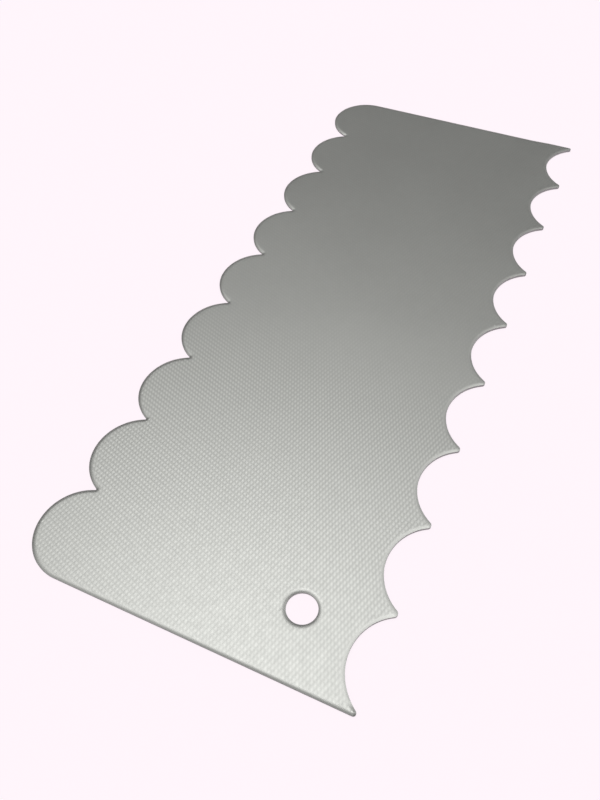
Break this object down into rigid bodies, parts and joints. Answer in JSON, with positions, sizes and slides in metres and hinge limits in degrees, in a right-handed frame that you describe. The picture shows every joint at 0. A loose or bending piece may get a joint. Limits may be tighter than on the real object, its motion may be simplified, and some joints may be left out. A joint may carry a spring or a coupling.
{
  "type": "icing smoother",
  "caption": "Thin flat steel icing smoother with rounded lobes along one long edge, hollow scallops along the other, straight ends and a hanging hole.",
  "frame": {"origin": "middle of the plate's outline, on its back face", "axes": "+Z out of the embossed show face, +Y along the plate from the end with the hanging hole to the far end, +X across it from the lobed edge to the scalloped edge"},
  "size_m": [0.094, 0.2286, 0.001],
  "materials": {
    "plate": "satin stainless steel, pressed all over with a fine square lattice"
  },
  "bodies": {
    "root": {"smoother_plate": "plate"}
  },
  "joints": []
}
